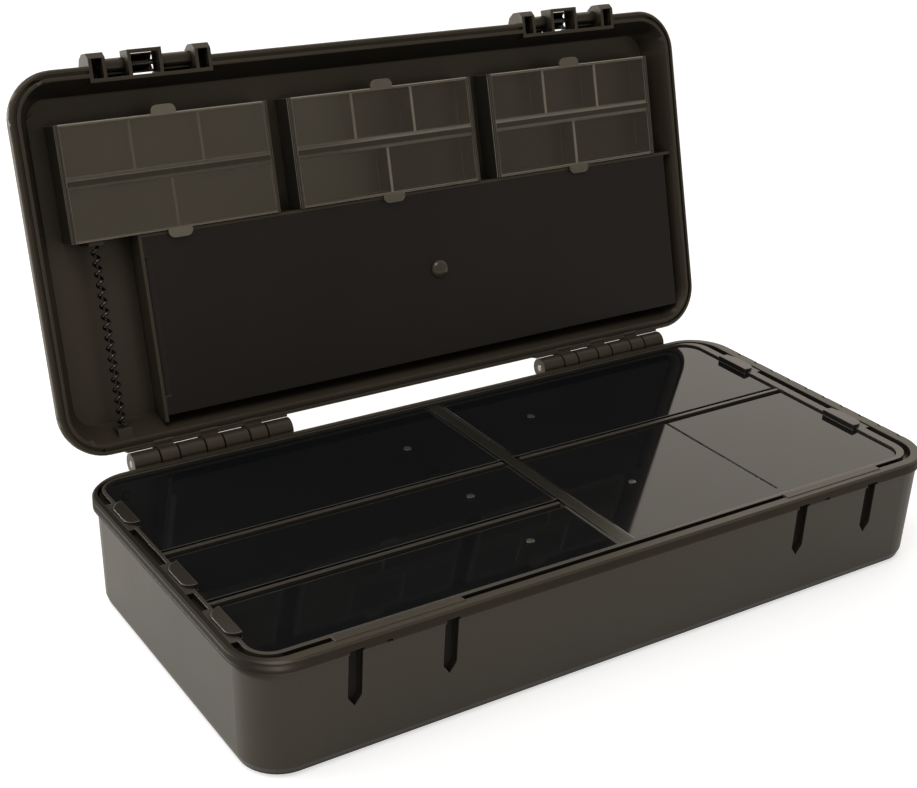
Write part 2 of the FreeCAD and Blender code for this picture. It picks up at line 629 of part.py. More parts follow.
def make_lid_shell():
    """Shallow leaning-walled lid with seal groove, bay ribs, latch housings and hinge knuckles."""
    hx, hy = LID_LENGTH / 2, LID_WIDTH / 2
    band = rounded_prism(-hx, hx, -hy, hy, RIM_FACE, RIM_FACE + LID_BAND, RIM_RADIUS)
    edges = level_edges(band, RIM_FACE) + level_edges(band, RIM_FACE + LID_BAND)
    band = band.makeChamfer(LID_RIM_BEVEL, edges)
    low = (hx - LID_BAND_STEP, hy - LID_BAND_STEP, RIM_FACE + LID_BAND / 2, RIM_RADIUS - LID_BAND_STEP)
    inset = LID_BAND_STEP + LID_SLOPE
    bevel = inset + LID_TOP_BEVEL
    high = (hx - inset, hy - inset, RIM_FACE + LID_HEIGHT - LID_TOP_BEVEL * 0.6, RIM_RADIUS - inset)
    top = (hx - bevel, hy - bevel, RIM_FACE + LID_HEIGHT, RIM_RADIUS - bevel)
    crown = joined(rounded_loft(low, high), rounded_loft(high, top))
    cavity = rounded_loft((hx - LID_LAND, hy - LID_LAND, RIM_FACE, RIM_RADIUS - LID_LAND),
                          (hx - LID_LAND - LID_CAVITY_SLOPE, hy - LID_LAND - LID_CAVITY_SLOPE, CAVITY_FLOOR,
                           RIM_RADIUS - LID_LAND - LID_CAVITY_SLOPE))
    seal_out = rounded_prism(-hx + SEAL_OFFSET, hx - SEAL_OFFSET, -hy + SEAL_OFFSET, hy - SEAL_OFFSET,
                             RIM_FACE, RIM_FACE + SEAL_DEPTH, RIM_RADIUS - SEAL_OFFSET)
    inner = SEAL_OFFSET + SEAL_WIDTH
    seal_in = rounded_prism(-hx + inner, hx - inner, -hy + inner, hy - inner, RIM_FACE, RIM_FACE + SEAL_DEPTH,
                            RIM_RADIUS - inner)
    shell = less(joined(band, crown), cavity, less(seal_out, seal_in))

    bays = [latch_bay(side * LATCH_X) for side in (-1, 1)]
    shell = less(shell, *bays)
    rib_top = RIM_FACE + BOARD_SINK - 0.1
    rib_low = LID_WIDTH / 2 - BOARD_HIGH - FIT - LID_RIB
    rail_x = BOARD_LEFT - FIT
    rib_foot = CAVITY_FLOOR + 0.5
    additions = [box(rail_x - LID_RIB, hx - LID_LAND - 2.0, rib_low, rib_low + LID_RIB, rib_top, rib_foot),
                 box(rail_x - LID_RIB, rail_x, rib_low, hy - BOARD_LOW + 3.0, rib_top, rib_foot),
                 spring_clip(SPRING_LOW - CLIP_LENGTH, CLIP_LENGTH), spring_clip(SPRING_HIGH, CLIP_LUG)]
    cores = []
    for side in (-1, 1):
        pieces, hollows = latch_housing(side * LATCH_X)
        additions += pieces
        cores += hollows
        cores.append(rod_x(side * LATCH_X - LATCH_HALF + CHEEK_WALL, side * LATCH_X + LATCH_HALF - CHEEK_WALL,
                           PIVOT_Y, PIVOT_Z, LATCH_PIN_RADIUS + PIN_PLAY))
        _, spans = knuckle_spans(side)
        additions += [lid_knuckle(span) for span in spans]
        cores.append(hinge_bore(side))
    cores.append(stud_hole())
    return less(joined(shell, *additions), *cores)


# ---------------------------------------------------------------- latches
def latch_lever(centre):
    """Lever with two barrels, arms, a broad plate, two guide ribs and a snap tooth; drawn shut."""
    face = PIVOT_Y - LEVER_FACE
    outside = face - LEVER_THICK
    top = PIVOT_Z - LEVER_TOP
    end = PIVOT_Z - LEVER_LENGTH
    pieces = []
    inner = LATCH_HALF - CHEEK - 0.3
    for x0, x1 in ((centre - inner, centre + WINDOW_LEFT - 0.3),
                   (centre + WINDOW_RIGHT + 0.3, centre + inner)):
        pieces.append(rod_x(x0, x1, PIVOT_Y, PIVOT_Z, BARREL_RADIUS))
        pieces.append(box(x0, x1, outside, face, top - 1.0, PIVOT_Z))
    plate = box(centre - LATCH_HALF + 0.2, centre + LATCH_HALF - 0.2, outside, face, end, top)
    lower = [e for e in plate.Edges if e.BoundBox.YLength > 1 and e.BoundBox.ZMax < end + 0.01]
    plate = plate.makeFillet(5.0, lower)
    pieces.append(plate)
    rib_top = BODY_HEIGHT - SLOT_TOP - 1.0
    rib_low = BODY_HEIGHT - SLOT_TOP - SLOT_LENGTH + SLOT_TIP + 1.8
    depth = -RIM_Y + SLOT_DEPTH - RIB_PLAY
    for side in (-1, 1):
        x = centre + side * SLOT_PITCH / 2
        outline = [(face, rib_top), (depth, rib_top - 0.6), (depth, rib_low + 5.0), (face, rib_low)]
        pieces.append(profile_x(outline, x - RIB_WIDTH / 2, x + RIB_WIDTH / 2))
    tooth_top = BODY_HEIGHT - CATCH_TOP - 0.5
    middle = centre + CATCH_OFFSET
    tooth = [(face, tooth_top), (-RIM_Y + CATCH_DEPTH - 0.6, tooth_top - 0.3),
             (face, tooth_top - CATCH_HEIGHT + 0.4)]
    pieces.append(profile_x(tooth, middle - CATCH_WIDTH / 2 + 0.4, middle + CATCH_WIDTH / 2 - 0.4))
    lever = joined(*pieces)
    bore = rod_x(centre - LATCH_HALF, centre + LATCH_HALF, PIVOT_Y, PIVOT_Z, LATCH_PIN_RADIUS + PIN_PLAY)
    lever = less(lever, bore)
    lever.rotate(Vector(0, PIVOT_Y, PIVOT_Z), Vector(1, 0, 0), -LEVER_FOLD)
    return lever


def latch_pin(centre):
    """Pin through the cheeks' inner walls, the barrels and the centre unit."""
    reach = LATCH_HALF - CHEEK + CHEEK_WALL
    return rod_x(centre - reach, centre + reach, PIVOT_Y, PIVOT_Z, LATCH_PIN_RADIUS)


def latch_spring(centre):
    """Close-wound torsion spring on the pin inside the centre unit, as the sleeve that its turns fill."""
    left = centre + WINDOW_LEFT + CHEEK_WALL + FIT
    coil = rod_x(left, left + COIL_LENGTH, PIVOT_Y, PIVOT_Z, COIL_RADIUS)
    return less(coil, rod_x(left, left + COIL_LENGTH, PIVOT_Y, PIVOT_Z, COIL_BORE))


# ---------------------------------------------------------------- small boxes in the lid
def box_levels(index):
    """(x low, x high, y back, y front) of one small box; y front is the edge towards the latches."""
    centre = (index - 1) * BOX_PITCH
    back = LID_WIDTH / 2 - BOX_BACK
    return centre - BOX_LENGTH / 2, centre + BOX_LENGTH / 2, back, back - BOX_WIDTH


def box_row(index, upper):
    """(direction away from the bar, y of the flap's hinge line, y of the wall's inside) of one row."""
    _, _, back, front = box_levels(index)
    bar = (back + front) / 2
    away = -1 if upper else 1
    return away, bar + away * BOX_BAR / 2, (front + BOX_WALL) if upper else (back - BOX_WALL)


def make_small_box(index):
    """Small box: cells on both sides of a bar, whose two grooves hold the flaps' hinge beads."""
    x0, x1, back, front = box_levels(index)
    face, bottom = RIM_FACE, CAVITY_FLOOR - FLAP_LIFT
    seat = face + FLAP + FLAP_LIFT
    inner = (x0 + BOX_WALL, x1 - BOX_WALL)
    high, low = groove_lips(FLAP_BEAD, FLAP, FLAP_SWING)
    body = box(x0, x1, front, back, face, bottom)
    _, upper_line, _ = box_row(index, True)
    _, lower_line, _ = box_row(index, False)
    body = joined(body, box(*inner, upper_line - high[0], lower_line + high[0], face - BAR_PROUD, seat))
    cuts = []
    for upper, cells in ((True, UPPER_CELLS), (False, LOWER_CELLS)):
        away, line, wall = box_row(index, upper)
        cuts.append(box(*inner, line, wall + away * 2 * BOX_WALL, face - 1, seat))
        cuts.append(rod_x(*inner, line, face + FLAP / 2, FLAP_BEAD + BEAD_PLAY))
        width = (inner[1] - inner[0] - BOX_WALL * (cells - 1)) / cells
        for cell in range(cells):
            start = inner[0] + cell * (width + BOX_WALL)
            cuts.append(box(start, start + width, line + away * low[0], wall, seat - 0.5, bottom - BOX_WALL))
    return less(body, *cuts)


def small_flap(index, upper):
    """Clear flap with a bead along its hinge edge and a finger tab beyond the box's edge."""
    x0, x1, _, _ = box_levels(index)
    away, line, wall = box_row(index, upper)
    outer = wall + away * (BOX_WALL - FLAP_GAP)
    face, back = RIM_FACE, RIM_FACE + FLAP
    left, right = x0 + BOX_WALL + FLAP_GAP, x1 - BOX_WALL - FLAP_GAP
    centre = (x0 + x1) / 2
    tip = outer + away * FLAP_TAB_REACH
    root = outer - away * 2 * FLAP_TAB_RADIUS
    tab = rounded_prism(centre - FLAP_TAB_WIDTH / 2, centre + FLAP_TAB_WIDTH / 2, min(root, tip),
                        max(root, tip), face, back, FLAP_TAB_RADIUS)
    return joined(box(left, right, line, outer, face, back), tab,
                  rod_x(left, right, line, face + FLAP / 2, FLAP_BEAD))


# ---------------------------------------------------------------- rig board and rig spring
def stud_centre():
    """(x, y) of the stud that holds the rig board."""
    x = (BOARD_LEFT + BOARD_RIGHT) / 2 + STUD_RIGHT
    return x, (LID_WIDTH - BOARD_LOW - BOARD_HIGH) / 2 - STUD_UP


def stud_hole():
    """Blind hole for the stud's foot in the lid's floor."""
    x, y = stud_centre()
    depth = (LID_HEIGHT - LID_CAVITY) / 2
    return Part.makeCylinder(STUD_SHANK + PIN_PLAY, depth, Vector(x, y, CAVITY_FLOOR))


def make_board():
    """Flat board with a frame under it that stands on the lid's floor, and a bevel to lift it by."""
    high, low = LID_WIDTH / 2 - BOARD_LOW, LID_WIDTH / 2 - BOARD_HIGH
    face = RIM_FACE + BOARD_SINK
    plate = box(BOARD_LEFT, BOARD_RIGHT, low, high, face, face + BOARD_PLATE)
    frame_out = box(BOARD_LEFT + BOARD_INSET, BOARD_RIGHT - BOARD_INSET, low + BOARD_INSET, high - BOARD_INSET,
                    face + BOARD_PLATE, CAVITY_FLOOR)
    wall = BOARD_INSET + BOARD_FRAME
    frame_in = box(BOARD_LEFT + wall, BOARD_RIGHT - wall, low + wall, high - wall, face + BOARD_PLATE,
                   CAVITY_FLOOR)
    bevel = profile_y([(BOARD_LEFT - 1, face - 0.5), (BOARD_LEFT + BOARD_BEVEL, face - 0.5),
                       (BOARD_LEFT + BOARD_BEVEL, face), (BOARD_LEFT, face + BOARD_PLATE * 0.7),
                       (BOARD_LEFT - 1, face + BOARD_PLATE * 0.7)],
                      low + BOARD_BEVEL_END, high - BOARD_BEVEL_END)
    x, y = stud_centre()
    hole = Part.makeCylinder(STUD_SHANK + PIN_PLAY, BOARD_PLATE + 2, Vector(x, y, face - 1))
    return less(joined(plate, less(frame_out, frame_in)), bevel, hole)


def make_stud():
    """Stud: round head on the board's face and a shank down into the lid's floor."""
    x, y = stud_centre()
    face = RIM_FACE + BOARD_SINK
    head = Part.makeCylinder(STUD_RADIUS, STUD_HEAD, Vector(x, y, face - STUD_HEAD))
    length = CAVITY_FLOOR + (LID_HEIGHT - LID_CAVITY) / 2 - face
    return joined(head, Part.makeCylinder(STUD_SHANK, length, Vector(x, y, face)))


def make_rig_spring():
    """Stretched coil between its two clips, as the cylinder that its turns lie in."""
    low, high = LID_WIDTH / 2 - SPRING_HIGH, LID_WIDTH / 2 - SPRING_LOW
    return rod_y(SPRING_X, low, high, RIM_FACE + SPRING_SINK, SPRING_RADIUS)


# ---------------------------------------------------------------- nodes
save("tub", make_tub())
save("compartment_tray", make_tray())
save("centre_spine", make_spine())
for lane in lanes():
    save("compartment_lid_" + lane[4], compartment_lid(*lane))
for side, word in ((-1, "left"), (1, "right")):
    save("main_hinge_pin_" + word, hinge_pin(side))
    save("latch_lever_" + word, opened(latch_lever(side * LATCH_X)))
    save("latch_pin_" + word, opened(latch_pin(side * LATCH_X)))
    save("latch_spring_" + word, opened(latch_spring(side * LATCH_X)))
save("lid_shell", opened(make_lid_shell()))
for number, word in enumerate(("left", "middle", "right")):
    save("small_box_" + word, opened(make_small_box(number)))
    save("small_box_" + word + "_upper_flap", opened(small_flap(number, True)))
    save("small_box_" + word + "_lower_flap", opened(small_flap(number, False)))
save("rig_board", opened(make_board()))
save("rig_board_stud", opened(make_stud()))
save("rig_spring", opened(make_rig_spring()))
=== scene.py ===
import bpy
import json
import math
from mathutils import Matrix, Vector


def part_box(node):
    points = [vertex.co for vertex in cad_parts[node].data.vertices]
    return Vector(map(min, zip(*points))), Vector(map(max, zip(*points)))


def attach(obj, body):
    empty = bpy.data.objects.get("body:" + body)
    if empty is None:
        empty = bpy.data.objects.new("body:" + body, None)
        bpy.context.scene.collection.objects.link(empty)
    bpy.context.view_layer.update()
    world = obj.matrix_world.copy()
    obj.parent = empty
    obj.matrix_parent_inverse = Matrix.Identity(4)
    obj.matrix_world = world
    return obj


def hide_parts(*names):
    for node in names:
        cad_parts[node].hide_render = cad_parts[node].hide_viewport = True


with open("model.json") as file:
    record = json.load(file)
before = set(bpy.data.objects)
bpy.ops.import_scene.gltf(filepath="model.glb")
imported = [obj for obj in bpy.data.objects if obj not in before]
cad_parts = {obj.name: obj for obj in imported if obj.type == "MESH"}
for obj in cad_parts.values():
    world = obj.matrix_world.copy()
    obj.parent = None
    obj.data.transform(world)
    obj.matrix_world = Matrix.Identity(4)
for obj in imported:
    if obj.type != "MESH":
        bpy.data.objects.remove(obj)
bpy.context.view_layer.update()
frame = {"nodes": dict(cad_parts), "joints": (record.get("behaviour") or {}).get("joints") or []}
nodes = frame["nodes"]
bpy.ops.object.select_all(action="DESELECT")

# ------------------------------------------------------------ tub
# The box itself: an injection-moulded tub in dark olive-brown plastic with a fine spark-eroded grain.
# Its rim overhangs the walls, and its edges are painted lighter, partly as rubbed wear and partly as painted
# highlight.
# Painted shade darkens its hollows, the groove inside the rim, the notches along its right-hand end, the
# slots for the levers' ribs, the left-hand end of the rim with the wall just under it, and the joints between
# the hinge knuckles.


class Shade:
    """One socket of a material's nodes, on which sums are written as Python expressions."""

    def __init__(self, material, socket=None):
        self.material = material
        self.socket = socket

    def node(self, kind, settings=None, **inputs):
        made = self.material.node_tree.nodes.new(kind)
        for name, value in (settings or {}).items():
            setattr(made, name, value)
        for name, value in inputs.items():
            place = int(name[1:]) if name[0] == "_" else name.replace("_", " ")
            socket = made.inputs[place]
            if isinstance(value, Shade):
                self.material.node_tree.links.new(value.socket, socket)
            else:
                socket.default_value = value
        return Shade(self.material, made.outputs[0])

    def sum(self, operation, *values):
        return self.node("ShaderNodeMath", {"operation": operation},
                         **{f"_{place}": value for place, value in enumerate(values)})

    def __add__(self, other):
        return self.sum("ADD", self, other)

    def __mul__(self, other):
        return self.sum("MULTIPLY", self, other)

    def __sub__(self, other):
        return self.sum("SUBTRACT", self, other)

    def __rsub__(self, other):
        return self.sum("SUBTRACT", other, self)

    __radd__ = __add__
    __rmul__ = __mul__

    def step(self, low, high):
        """0 at low, 1 at high, smooth between."""
        return self.node("ShaderNodeMapRange", {"interpolation_type": "SMOOTHSTEP"}, Value=self,
                         From_Min=low, From_Max=high)

    def between(self, first, second):
        """Mix of two colours by this factor."""
        mixed = self.node("ShaderNodeMix", {"data_type": "RGBA"}, _0=self, _6=first, _7=second)
        return mixed.output("Result", 2)

    def output(self, name, index=0):
        outputs = [o for o in self.socket.node.outputs if o.name == name]
        return Shade(self.material, outputs[min(index, len(outputs) - 1)])

    def place(self):
        return self.node("ShaderNodeTexCoord").output("Object")

    def along(self, direction):
        """Distance of a point from the origin along one direction, in metres."""
        return self.node("ShaderNodeVectorMath", {"operation": "DOT_PRODUCT"}, _0=self.place(),
                         _1=tuple(direction)).output("Value")

    def noise(self, scale, detail=2.0, rough=0.5):
        return self.node("ShaderNodeTexNoise", Vector=self.place(), Scale=scale, Detail=detail,
                         Roughness=rough)


class Finish:
    """A moulded or drawn finish: drifting colour, edges painted lighter as rubbed wear and painted highlight,
    painted shade in hollows, grain and gloss.
    """

    def __init__(self, name, colour, lighter, edge, rough, edge_width=0.0004, grain=0.15, grain_scale=2400.0,
                 patchy=0.08, hollow=0.0, **constants):
        self.material = bpy.data.materials.new(name)
        self.material.use_nodes = True
        self.shader = next(n for n in self.material.node_tree.nodes if n.type == "BSDF_PRINCIPLED")
        self.shader.inputs["Specular Tint"].default_value = (1.0, 0.90, 0.76, 1.0)
        for socket, value in constants.items():
            self.shader.inputs[socket.replace("_", " ")].default_value = value
        self.maker = Shade(self.material)
        drift = self.maker.noise(9.0, 3.0).step(0.35, 0.65)
        mottle = self.maker.noise(170.0, 2.0)
        self.colour = (drift * 0.7 + mottle * 0.3).between((*colour, 1.0), (*lighter, 1.0))
        self.rounded = self.maker.node("ShaderNodeBevel", {"samples": 6}, Radius=edge_width)
        flat = self.maker.node("ShaderNodeNewGeometry").output("Normal")
        turned = self.maker.node("ShaderNodeVectorMath", {"operation": "DOT_PRODUCT"}, _0=self.rounded,
                                 _1=flat)
        self.edge = (1.0 - turned.output("Value")).step(0.01, 0.22)
        # Edges painted lighter in the edge colour: partly rubbed wear, partly painted highlight.
        rubbed_and_highlit = self.edge * (0.55 + self.maker.noise(60.0, 3.0) * 0.8)
        self.tint(rubbed_and_highlit, edge)
        self.roughness = rough - patchy * 0.5 + self.maker.noise(32.0, 3.0) * patchy
        pits = self.maker.noise(grain_scale, 1.0)
        self.normal = self.maker.node("ShaderNodeBump", Strength=grain, Distance=0.0001, Height=pits,
                                      Normal=self.rounded)
        # Painted shade: hollows that ambient occlusion finds within the given reach turn matt and nearly
        # black.
        self.painted_shade = None
        if hollow:
            around = self.maker.node("ShaderNodeAmbientOcclusion", {"samples": 4}, Distance=hollow)
            self.painted_shade = 1.0 - around.output("AO").step(0.15, 0.75)

    def tint(self, mask, colour):
        """Another colour where the mask is 1."""
        self.colour = mask.node("ShaderNodeMix", {"data_type": "RGBA"}, _0=mask, _6=self.colour,
                                _7=(*colour, 1.0)).output("Result", 2)

    def emboss(self, height):
        """Relief of a height given in metres."""
        self.normal = self.maker.node("ShaderNodeBump", Strength=1.0, Distance=1.0, Height=height,
                                      Normal=self.normal)

    def shade(self, mask, amount):
        """Painted shade: matt and nearly black, by this amount where the mask is 1."""
        self.painted_shade = self.maker.sum("MAXIMUM", self.painted_shade, mask * amount)

    def part_lines(self, places, low, high):
        """Painted shade in the joints between hinge knuckles, this far either side of the middle, from low to
        high.
        """
        half, fade, rim_back = 0.0006, 0.0003, 0.0872
        from_middle = self.maker.sum("ABSOLUTE", self.maker.along((1, 0, 0)))
        up = self.maker.along((0, 0, 1))
        over = up.step(low, low + fade) * up.step(high, high - fade)
        over = over * self.maker.along((0, 1, 0)).step(rim_back, rim_back + 0.0004)
        for place in places:
            line = self.maker.sum("ABSOLUTE", from_middle - place).step(half, half * 0.6)
            self.shade(line * over, 1.0)

    def done(self):
        links = self.material.node_tree.links
        links.new(self.colour.socket, self.shader.inputs["Base Color"])
        links.new(self.roughness.socket, self.shader.inputs["Roughness"])
        links.new(self.normal.socket, self.shader.inputs["Normal"])
        # The painted shade mixes in a matt, nearly black shader.
        if self.painted_shade:
            matt = self.maker.node("ShaderNodeBsdfPrincipled", Base_Color=(0.010, 0.0085, 0.0062, 1.0),
                                   Roughness=0.9, Specular_IOR_Level=0.1)
            mixed = self.maker.node("ShaderNodeMixShader", _0=self.painted_shade,
                                    _1=Shade(self.material, self.shader.outputs[0]), _2=matt)
            output = next(n for n in self.material.node_tree.nodes if n.type == "OUTPUT_MATERIAL")
            links.new(mixed.socket, output.inputs["Surface"])
        return self.material


def finish_node(name, material):
    """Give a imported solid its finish."""
    nodes[name].data.materials.clear()
    nodes[name].data.materials.append(material)


moulded = Finish("tub_plastic", (0.026, 0.0215, 0.0145), (0.033, 0.0275, 0.019), (0.070, 0.060, 0.044), 0.36,
                 edge_width=0.0005, grain=0.30, hollow=0.005)
along_x, along_y, height = (moulded.maker.along(axis) for axis in ((1, 0, 0), (0, 1, 0), (0, 0, 1)))
skirt_low, skirt_height, knuckles_from, skirt_lean = 0.0498, 0.0056, 0.0870, 0.8
up_the_skirt = (height - skirt_low).step(0.0, skirt_height)
outside_hinge = 1.0 - along_y.step(knuckles_from, knuckles_from + 0.0004)
moulded.emboss(up_the_skirt * outside_hinge * (-skirt_lean * skirt_height))
flow = moulded.maker.noise(5.0, 4.0, 0.6)
moulded.roughness = moulded.roughness + (flow - 0.5) * 0.10

# Painted shade in the pencil-pointed slots for the levers' ribs on the front wall.
latch_x, slot_pitch, slot_half, slot_tip = 0.1175, 0.044, 0.0032, 0.0045
slot_low, slot_top, front_wall = 0.0245, 0.0516, -0.075
off_centre = moulded.maker.sum("ABSOLUTE", moulded.maker.sum("ABSOLUTE", along_x) - latch_x)
off_slot = moulded.maker.sum("ABSOLUTE", off_centre - slot_pitch / 2)
above_tip = height - slot_low - off_slot * (slot_tip / slot_half)
in_slot = off_slot.step(slot_half + 0.0001, slot_half - 0.0001) * above_tip.step(-0.0001, 0.0002)
in_slot = in_slot * height.step(slot_top, slot_top - 0.0003)
in_slot = in_slot * along_y.step(front_wall + 0.005, front_wall)
moulded.shade(in_slot, 0.85)

# Painted shade in the groove inside the rim.
rim_top, rim_half, mouth_half, mouth_radius, bead_drop = 0.0554, 0.1835, 0.0840, 0.0205, 0.0004
in_rim = height.step(skirt_low + 0.0002, skirt_low + 0.0004)
in_rim = in_rim * height.step(rim_top - 0.0002, rim_top - bead_drop)
past_x = moulded.maker.sum("ABSOLUTE", along_x) - (rim_half - mouth_radius)
past_y = moulded.maker.sum("ABSOLUTE", along_y) - (mouth_half - mouth_radius)
past_x, past_y = (moulded.maker.sum("MAXIMUM", past, 0.0) for past in (past_x, past_y))
off_corner = moulded.maker.sum("SQRT", past_x * past_x + past_y * past_y)
in_mouth = off_corner.step(mouth_radius + 0.0001, mouth_radius)
moulded.shade(in_rim * in_mouth, 0.9)

# Painted shade in the notches along the right-hand end.
notch_pitch, notch_half, notch_depth, notch_middle, notch_count = 0.0129, 0.0011, 0.0012, -0.0040, 10
notch_x, notch_reach = 0.1827, 0.0645
first_notch = notch_middle - (notch_count - 1) / 2 * notch_pitch
off_notch = moulded.maker.sum("FRACT", (along_y - first_notch) * (1 / notch_pitch) + 0.5) - 0.5
off_notch = moulded.maker.sum("ABSOLUTE", off_notch) * notch_pitch
in_notch = off_notch.step(notch_half + 0.0002, notch_half) * along_x.step(notch_x - 0.0003, notch_x)
in_notch = in_notch * height.step(rim_top - notch_depth - 0.0003, rim_top - notch_depth - 0.0001)
from_notches = moulded.maker.sum("ABSOLUTE", along_y - notch_middle)
moulded.shade(in_notch * from_notches.step(notch_reach + 0.0005, notch_reach), 0.95)

# Painted shade over the left-hand end of the rim and the wall just under it, fading out around the corners.
flare_low, flare_high, flare_from, flare_full = 0.0455, 0.0480, -0.1690, -0.1820
moulded.shade(along_x.step(flare_from, flare_full) * height.step(flare_low, flare_high), 0.72)

hinge_start, tub_knuckle, lid_knuckle = 0.0750, 0.0134, 0.0095
lid_knuckles, tub_knuckles = 3, 4
knuckle_joints = []
for knuckle in range(lid_knuckles):
    knuckle_joints.append(hinge_start + knuckle * (tub_knuckle + lid_knuckle) + tub_knuckle)
    knuckle_joints.append(hinge_start + (knuckle + 1) * (tub_knuckle + lid_knuckle))
knuckles_low, knuckles_high = 0.040, 0.0605
# Painted shade in the joints between the hinge knuckles.
moulded.part_lines(knuckle_joints, knuckles_low, knuckles_high)
finish_node("tub", moulded.done())

# ------------------------------------------------------------ compartment tray and spine
# A smoother insert that drops into the tub.  Its folded edge stops short of the tub's rim, which leaves
# the groove for the lid's rim; the darker spine clips over its middle wall and carries the lids.

insert = Finish("tray_plastic", (0.040, 0.036, 0.029), (0.050, 0.045, 0.037), (0.13, 0.12, 0.10), 0.26,
                edge_width=0.0004, grain=0.06, hollow=0.003)
# Painted shade in the groove outside the tray's folded edge, below the rim.
bead_right, bead_left, bead_front = 0.1753, -0.1785, -0.0795
past_bead = insert.maker.along((1, 0, 0)).step(bead_right, bead_right + 0.0001)
past_bead = past_bead + insert.maker.along((1, 0, 0)).step(bead_left, bead_left - 0.0001)
past_bead = past_bead + insert.maker.along((0, 1, 0)).step(bead_front, bead_front - 0.0001)
below_bead = insert.maker.along((0, 0, 1)).step(rim_top - 0.0005, rim_top - 0.0007)
insert.shade(past_bead.step(0.0, 1.0) * below_bead, 0.9)
finish_node("compartment_tray", insert.done())
cap = Finish("spine_plastic", (0.014, 0.013, 0.010), (0.018, 0.017, 0.013), (0.10, 0.095, 0.085), 0.25,
             edge_width=0.0005, grain=0.05, hollow=0.002)
finish_node("centre_spine", cap.done())

# ------------------------------------------------------------ compartment lids
# Five polished smoked lids, nearly black over the deep compartments.  Their finger tabs are thinner, so they
# look grey; the edges of lids and tabs are painted lighter as painted highlight and rubbed wear, and a small
# frosted pip stands on the middle of each hinge side.

smoked = Finish("smoked_lid_plastic", (0.0056, 0.0062, 0.0072), (0.0074, 0.0082, 0.0092),
                (0.15, 0.145, 0.13), 0.05, edge_width=0.0006, grain=0.0, patchy=0.02)
tab_from, tab_colour, tab_edge, tab_rougher = 0.0543, (0.016, 0.0140, 0.0105), (0.16, 0.15, 0.125), 0.26
tab_mask = smoked.maker.along((0, 0, 1)).step(tab_from, tab_from + 0.0003)
smoked.tint(tab_mask * 0.9, tab_colour)
# Painted highlight and rubbed wear on the tabs' edges.
smoked.tint(tab_mask * smoked.edge, tab_edge)
smoked.roughness = smoked.roughness + tab_mask * tab_rougher
smoked_lid = smoked.done()
for lane in ("left_back", "left_middle", "left_front", "right_back", "right_front"):
    finish_node("compartment_lid_" + lane, smoked_lid)

frosted = Finish("frosted_pip", (0.035, 0.034, 0.031), (0.050, 0.048, 0.044), (0.12, 0.115, 0.105), 0.3,
                 grain=0.1)
frosted_pip = frosted.done()
pip_radius, pip_height, pip_round, lid_top, pip_x = 0.0019, 0.0008, 0.00036, 0.0540, 0.0365
pips = {"left_back": (-pip_x, 0.0455), "left_middle": (-pip_x, -0.0095), "left_front": (-pip_x, -0.0562),
        "right_back": (pip_x, 0.0465), "right_front": (pip_x, -0.0345)}
for lane, (x, y) in pips.items():
    bpy.ops.object.select_all(action="DESELECT")
    bpy.ops.mesh.primitive_cylinder_add(vertices=32, radius=pip_radius, depth=pip_height,
                                        location=(x, y, lid_top + pip_height / 2))
    pip = bpy.context.object
    pip.name = "pip_" + lane
    bpy.ops.object.transform_apply(location=True, rotation=True, scale=True)
    bevel = pip.modifiers.new("round", "BEVEL")
    bevel.width, bevel.segments = pip_round, 4
    bpy.ops.object.modifier_apply(modifier=bevel.name)
    bpy.ops.object.shade_smooth()
    pip.data.materials.append(frosted_pip)
    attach(pip, "lid_" + lane)

# ------------------------------------------------------------ main hinges
# Two drawn steel pins, each pushed through the knuckles that the tub and the lid carry in turn.
# The pins of the latches are cut from the same wire.

drawn = Finish("pin_steel", (0.36, 0.35, 0.33), (0.46, 0.45, 0.43), (0.60, 0.59, 0.57), 0.28, grain=0.03,
               Metallic=1.0)
drawn_steel = drawn.done()
for side in ("left", "right"):
    finish_node("main_hinge_pin_" + side, drawn_steel)
    finish_node("latch_pin_" + side, drawn_steel)

# ------------------------------------------------------------ lid
# Moulded like the tub, and smoother inside, where it carries the boxes, the board and the spring.
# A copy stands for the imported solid: the ends of two ribs and of the spring's lower clip are trimmed
# flush with the leaning wall, and the hinge edge gains a lip behind each of the tub's knuckles.

hinge = next(joint for joint in frame["joints"] if joint["name"] == "lid_hinge")
turn = math.radians(hinge["range_deg"][0])
inward = Vector((0.0, -math.sin(turn), math.cos(turn)))
upward = Vector((0.0, -math.cos(turn), -math.sin(turn)))
face_past_hinge, edge_past_hinge = 0.0010, 0.0061
rim_corner = Vector(hinge["pos_m"]) + inward * face_past_hinge + upward * edge_past_hinge


def on_lid(x, height, depth):
    """Point in the open lid: x, height up from the hinge edge, depth behind the rim face, in metres."""
    return rim_corner + Vector((x, 0.0, 0.0)) + upward * height + inward * depth


moulded_lid = Finish("lid_plastic", (0.028, 0.022, 0.0145), (0.036, 0.029, 0.020), (0.080, 0.069, 0.050),
                     0.38, edge_width=0.0005, grain=0.22, hollow=0.012)
into_lid = moulded_lid.maker.along(inward) - rim_corner.dot(inward)
up_lid = moulded_lid.maker.along(upward) - rim_corner.dot(upward)
from_middle = moulded_lid.maker.sum("ABSOLUTE", moulded_lid.maker.along((1, 0, 0)))
# Painted shade on the inner face of the lid's top wall.
top_wall_low, top_wall_high, wall_lean, cavity_depth, top_wall_half = 0.1622, 0.1715, 0.5, 0.0152, 0.172
top_wall = up_lid.step(top_wall_low - 0.001, top_wall_low + 0.001)
top_wall = top_wall * (up_lid + into_lid * wall_lean).step(top_wall_high + 0.0002, top_wall_high - 0.0002)
top_wall = top_wall * into_lid.step(0.0002, 0.0012) * into_lid.step(cavity_depth + 0.0006, cavity_depth)
top_wall = top_wall * from_middle.step(top_wall_half + 0.006, top_wall_half)
